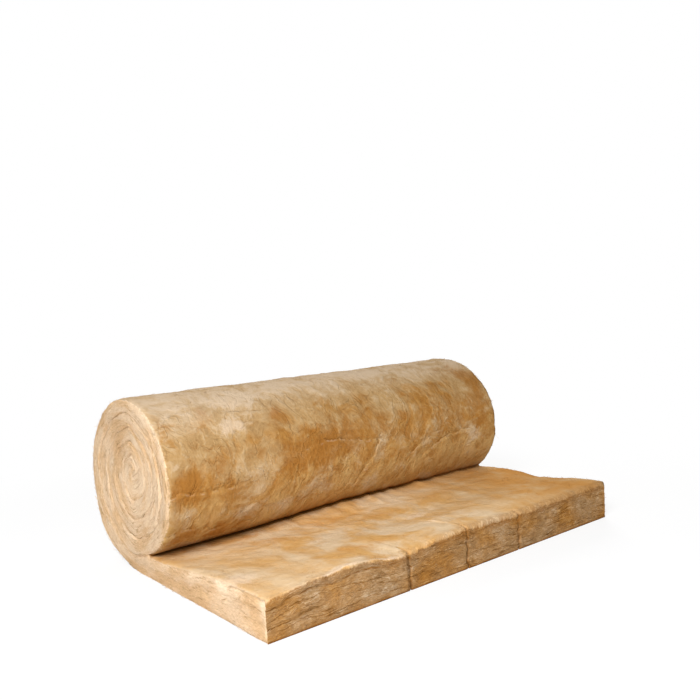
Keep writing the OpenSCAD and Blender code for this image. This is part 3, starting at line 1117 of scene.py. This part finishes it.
    outerHeight = blend(0.5, flocks, bumpHeights["flocks"])
    outerHeight = blend(outerHeight, rollStrands, times(combed, bumpHeights["strands"]))
    raised = {"wrinkles": wrinkles, "crumples": crumples, "foldDark": foldDark, "foldLip": foldLip}
    for label, part in raised.items():
        outerHeight = plus(part, bumpHeights[label], outerHeight)
    innerHeight = blend(0.5, flocks, bumpHeights["tailFlocks"])
    innerHeight = blend(innerHeight, tailStrands, bumpHeights["tailStrands"])
    height = blend(tree.mix(inner, outerHeight, innerHeight), fine, bumpHeights["fine"])
    height = tree.mix(front, height, blend(0.5, frontTone, bumpHeights["front"]))
    height = tree.mix(side, height, blend(0.5, sideTone, bumpHeights["side"]))
    bump = tree.node("ShaderNodeBump", {
        "Height": height, "Strength": finish["bump"], "Distance": finish["bumpDepth"]})
    shader = tree.node("ShaderNodeBsdfPrincipled", {
        "Base Color": colour, "Roughness": 1.0, "Specular IOR Level": 0.0, "Normal": bump.outputs["Normal"]})
    tree.node("ShaderNodeOutputMaterial", {"Surface": shader.outputs["BSDF"]})
    return material


# a geometry tree with named inputs; returns the tree and the sockets that carry them
def geometryTree(name, inputs):
    group = bpy.data.node_groups.new(name, "GeometryNodeTree")
    for way in ("INPUT", "OUTPUT"):
        group.interface.new_socket("Geometry", in_out=way, socket_type="NodeSocketGeometry")
    for label, kind in inputs.items():
        group.interface.new_socket(label, in_out="INPUT", socket_type=kind)
    tree = NodeTree(group)
    return tree, tree.node("NodeGroupInput").outputs


def endTree(tree, geometry, material):
    realized = tree.node("GeometryNodeRealizeInstances", {"Geometry": geometry})
    painted = tree.node("GeometryNodeSetMaterial", {"Geometry": realized.outputs[0], "Material": material})
    tree.node("NodeGroupOutput", {"Geometry": painted.outputs[0]})
    return tree.tree


# where the mat is cut, and where it may move
def cutAndFree(tree):
    cut = tree.maths("MAXIMUM", tree.named("sideFace"), tree.named("frontFace"))
    return cut, tree.less(1.0, tree.named("still"))


# runs a geometry tree on an object and returns the result as a plain mesh
def runTree(piece, group, values):
    modifier = piece.modifiers.new(group.name, "NODES")
    modifier.node_group = group
    for item in group.interface.items_tree:
        if item.in_out == "INPUT" and item.name in values:
            modifier[item.identifier] = values[item.name]
    graph = bpy.context.evaluated_depsgraph_get()
    evaluated = piece.evaluated_get(graph)
    mesh = bpy.data.meshes.new_from_object(evaluated, preserve_all_data_layers=True, depsgraph=graph)
    piece.modifiers.remove(modifier)
    return mesh


relief = {
    "lumpHeight": 0.0050,
    "lumpSize": 0.16,
    "flockHeight": 0.0036,
    "flockSize": 0.040,
    "layerHeight": 0.0045,
    "layerPitch": 0.024,
}


def reliefTree():
    kinds = {label: "NodeSocketFloat" for label in relief}
    tree, given = geometryTree("woolRelief", {**kinds, "wool": "NodeSocketMaterial"})
    place = tree.node("GeometryNodeInputPosition").outputs[0]
    normal = tree.node("GeometryNodeInputNormal").outputs[0]
    cut, free = cutAndFree(tree)

    def bumps(vector, size, height, detail):
        value = tree.noise(vector, tree.maths("DIVIDE", 1.0, given[size]), detail)
        return tree.times(tree.plus(value, 2.0, -1.0), given[height])

    lumps = bumps(place, "lumpSize", "lumpHeight", 1.0)
    flocks = bumps(place, "flockSize", "flockHeight", 2.0)
    drawnOut = tree.vectors("MULTIPLY", tree.named("matCoord", "FLOAT_VECTOR"), (0.16, 0.16, 1.0))
    layers = bumps(drawnOut, "layerPitch", "layerHeight", 2.0)
    skinOffset = tree.maths("ADD", lumps, flocks)
    offset = tree.mix(cut, skinOffset, tree.plus(skinOffset, 0.4, layers))
    move = tree.scale(normal, tree.times(offset, free))
    moved = tree.node("GeometryNodeSetPosition", {"Geometry": given["Geometry"], "Offset": move})
    return endTree(tree, moved.outputs[0], given["wool"])


# loose fibres: how many to the square metre, length and thickness, how far they stand up and turn
fibreKinds = {
    "skinWisps": {"mask": "skinMask", "count": 4500, "length": 0.013, "thickness": 0.00022, "tiltLow": -0.07,
                  "tiltHigh": 0.02, "swirl": 3.0, "jitter": 0.4, "clumping": 0.9, "seed": 11},
    "cutFibres": {"mask": "cutMask", "count": 19000, "length": 0.009, "thickness": 0.00022, "tiltLow": 0.0,
                  "tiltHigh": 0.35, "swirl": 0.6, "jitter": 0.5, "clumping": 0.3, "seed": 23},
    "edgeFluff": {"mask": "fluff", "count": 80000, "length": 0.0045, "thickness": 0.00022, "tiltLow": -0.05,
                  "tiltHigh": 0.30, "swirl": 12.0, "jitter": 1.5, "clumping": 0.6, "seed": 37},
}
fibreLowest = 0.0004  # none goes through the floor
# sideways, up, and tip of each form, by its length
fibreBends = ((0.10, 0.12, 0.03), (-0.14, 0.08, 0.02), (0.22, 0.16, 0.06))


def fibreTree():
    kinds = {"mask": "NodeSocketString", "seed": "NodeSocketInt", "wool": "NodeSocketMaterial"}
    kinds.update({label: "NodeSocketFloat" for label in fibreKinds["skinWisps"] if label not in kinds})
    tree, given = geometryTree("looseFibres", kinds)
    place = tree.node("GeometryNodeInputPosition").outputs[0]
    cut, free = cutAndFree(tree)

    def store(geometry, label, value, domain="POINT"):
        inputs = {"Geometry": geometry, "Name": label, "Value": value}
        return tree.node("GeometryNodeStoreNamedAttribute", inputs, domain=domain).outputs[0]

    def random(low, high, salt):
        inputs = {2: low, 3: high, "Seed": salt}
        return tree.node("FunctionNodeRandomValue", inputs, data_type="FLOAT").outputs[1]

    masked = store(given["Geometry"], "skinMask", tree.times(tree.less(1.0, cut), free))
    masked = store(masked, "cutMask", tree.times(cut, free))
    clumps = tree.spread(tree.noise(place, 16.0, 3.0), 0.42, 0.62)
    clumps = tree.mix(given["clumping"], 1.0, clumps)
    density = tree.times(tree.times(tree.named(given["mask"]), clumps), given["count"])
    points = tree.node("GeometryNodeDistributePointsOnFaces", {
        "Mesh": masked, "Density": density, "Seed": given["seed"]})

    # a few bent, tapering forms to pick from
    ring = tree.node("GeometryNodeCurvePrimitiveCircle", {"Resolution": 3, "Radius": given["thickness"]})
    forms = tree.node("GeometryNodeGeometryToInstance")
    taper = tree.plus(tree.node("GeometryNodeSplineParameter").outputs["Factor"], -0.75, 1.0)
    for sideways, up, tip in fibreBends:
        middle = tree.scale(tree.join(0.5, sideways, up), given["length"])
        end = tree.scale(tree.join(1.0, 0.0, tip), given["length"])
        bend = tree.node("GeometryNodeCurveQuadraticBezier", {
            "Resolution": 3, "Start": (0, 0, 0), "Middle": middle, "End": end})
        thinned = tree.node("GeometryNodeSetCurveRadius", {"Curve": bend.outputs[0], "Radius": taper})
        tube = tree.node("GeometryNodeCurveToMesh", {
            "Curve": thinned.outputs[0], "Profile Curve": ring.outputs[0], "Fill Caps": True})
        tree.tree.links.new(tube.outputs[0], forms.inputs[0])

    # they lie along the grain, turned by a slow swirl and a little at random
    swirl = tree.less(tree.noise(place, 7.0, 1.0), 0.5)
    turn = tree.plus(swirl, given["swirl"], random(-1.0, 1.0, 5))
    turn = tree.plus(random(-1.0, 1.0, 6), given["jitter"], turn)
    tilt = tree.times(random(given["tiltLow"], given["tiltHigh"], 7), -1.0)
    lie = tree.node("FunctionNodeAxesToRotation", {
        "Primary Axis": points.outputs["Normal"], "Secondary Axis": tree.named("grain", "FLOAT_VECTOR")},
        primary_axis="Z", secondary_axis="X")
    swing = tree.node("FunctionNodeEulerToRotation", {0: tree.join(0.0, tilt, turn)})
    turned = tree.node("FunctionNodeRotateRotation", {
        0: lie.outputs[0], 1: swing.outputs[0]}, rotation_space="LOCAL")
    pick = tree.node("FunctionNodeRandomValue", {4: 0, 5: len(fibreBends) - 1, "Seed": 8}, data_type="INT")
    strands = tree.node("GeometryNodeInstanceOnPoints", {
        "Points": points.outputs["Points"], "Instance": forms.outputs[0], "Pick Instance": True,
        "Instance Index": pick.outputs[2], "Rotation": turned.outputs[0], "Scale": random(0.5, 1.5, 9)})
    toned = store(strands.outputs[0], "strandTone", random(-1.0, 1.0, 10), "INSTANCE")
    plain = store(toned, "fray", 0.0, "INSTANCE")
    loose = tree.node("GeometryNodeRealizeInstances", {"Geometry": plain})
    x, y, z = tree.node("ShaderNodeSeparateXYZ", {0: place}).outputs
    lifted = tree.join(x, y, tree.maths("MAXIMUM", z, fibreLowest))
    kept = tree.node("GeometryNodeSetPosition", {"Geometry": loose.outputs[0], "Position": lifted})
    return endTree(tree, kept.outputs[0], given["wool"])


wool = makeWool()
woolMat = matObject(buildMat(), "glassWoolMat")
woolMat.data = runTree(woolMat, reliefTree(), {**relief, "wool": wool})
print("relief done:", len(woolMat.data.vertices), "points")

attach(woolMat, "root")
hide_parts("glass_wool_mat")
print("mat placed")

fibres = fibreTree()
for name, sizes in fibreKinds.items():
    mesh = runTree(woolMat, fibres, {**sizes, "wool": wool})
    mesh.name = name
    strands = bpy.data.objects.new(name, mesh)
    scene.collection.objects.link(strands)
    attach(strands, "root")
    print(name, "made:", sum(len(face.vertices) - 2 for face in mesh.polygons), "triangles")

# camera, as fitted to the photograph
viewpoint = {
    "place": (-1.3964, -1.7316, 0.6851),
    "right": (0.7727, -0.6328, -0.0498),
    "forward": (0.6291, 0.7739, -0.0724),
    "lens": 40.917,
    "sensor": 36.0,
}


def makeCamera():
    camera = bpy.data.objects.new("camera", bpy.data.cameras.new("camera"))
    camera.data.sensor_width = viewpoint["sensor"]
    camera.data.lens = viewpoint["lens"]
    forward = Vector(viewpoint["forward"]).normalized()
    up = Vector(viewpoint["right"]).cross(forward).normalized()
    right = forward.cross(up)
    turn = Matrix((right, up, -forward)).transposed().to_4x4()
    camera.matrix_world = Matrix.Translation(viewpoint["place"]) @ turn
    scene.collection.objects.link(camera)
    scene.camera = camera


studio = {
    "worldLight": 0.28,
    "lamps": (
        # name, place, target, size across, power
        ("keyLight", (-2.5, -1.6, 2.35), (-0.1, 0.0, 0.15), 1.6, 116),
        ("frontLight", (-1.7, -3.0, 1.05), (-0.1, 0.0, 0.15), 1.6, 37),
        ("backLight", (3.2, 2.2, 1.6), (0.0, 0.1, 0.15), 2.0, 105),
    ),
    "floorRadius": 12,
    "floorPale": 0.80,
    "floorGlow": 0.80,
    "floorLit": 0.20,
    "whiteRange": (0.8, 1.7),  # the floor goes white between these two distances
}


# ends a tree with one shader for what the camera sees and another for the light
def bySight(tree, kind, plain, seen):
    path = tree.node("ShaderNodeLightPath")
    both = tree.node("ShaderNodeMixShader", {0: path.outputs["Is Camera Ray"], 1: plain, 2: seen})
    tree.node(kind, {"Surface": both.outputs[0]})


def makeFloor():
    bpy.ops.mesh.primitive_circle_add(vertices=64, radius=studio["floorRadius"], fill_type="NGON")
    floor = bpy.context.object
    floor.name = "floor"
    material = bpy.data.materials.new("paleFloor")
    tree = emptyTree(material)

    def diffuse(pale):
        return tree.node("ShaderNodeBsdfDiffuse", {"Color": (pale, pale, pale, 1)}).outputs[0]

    def glow(strength):
        return tree.node("ShaderNodeEmission", {"Strength": strength}).outputs[0]

    place = tree.node("ShaderNodeTexCoord").outputs["Object"]
    reach = tree.node("ShaderNodeVectorMath", {0: place}, operation="LENGTH").outputs["Value"]
    near = tree.node("ShaderNodeAddShader", {0: diffuse(studio["floorLit"]), 1: glow(studio["floorGlow"])})
    seen = tree.node("ShaderNodeMixShader", {
        0: tree.spread(reach, *studio["whiteRange"]), 1: near.outputs[0], 2: glow(1.0)})
    bySight(tree, "ShaderNodeOutputMaterial", diffuse(studio["floorPale"]), seen.outputs[0])
    floor.data.materials.append(material)


def makeLamp(name, place, target, across, power):
    data = bpy.data.lights.new(name, "AREA")
    data.shape = "DISK"
    data.size = across
    data.energy = power
    lamp = bpy.data.objects.new(name, data)
    lamp.location = place
    lamp.rotation_euler = (Vector(target) - lamp.location).to_track_quat("-Z", "Y").to_euler()
    scene.collection.objects.link(lamp)


def makeWorld():
    world = bpy.data.worlds.new("studio")
    tree = emptyTree(world)
    soft, white = (tree.node("ShaderNodeBackground", {"Color": (1, 1, 1, 1), "Strength": strength}).outputs[0]
                   for strength in (studio["worldLight"], 1.0))
    bySight(tree, "ShaderNodeOutputWorld", soft, white)
    scene.world = world


makeCamera()
makeFloor()
for lamp in studio["lamps"]:
    makeLamp(*lamp)
makeWorld()
scene.view_settings.view_transform = "Standard"
print("studio set")
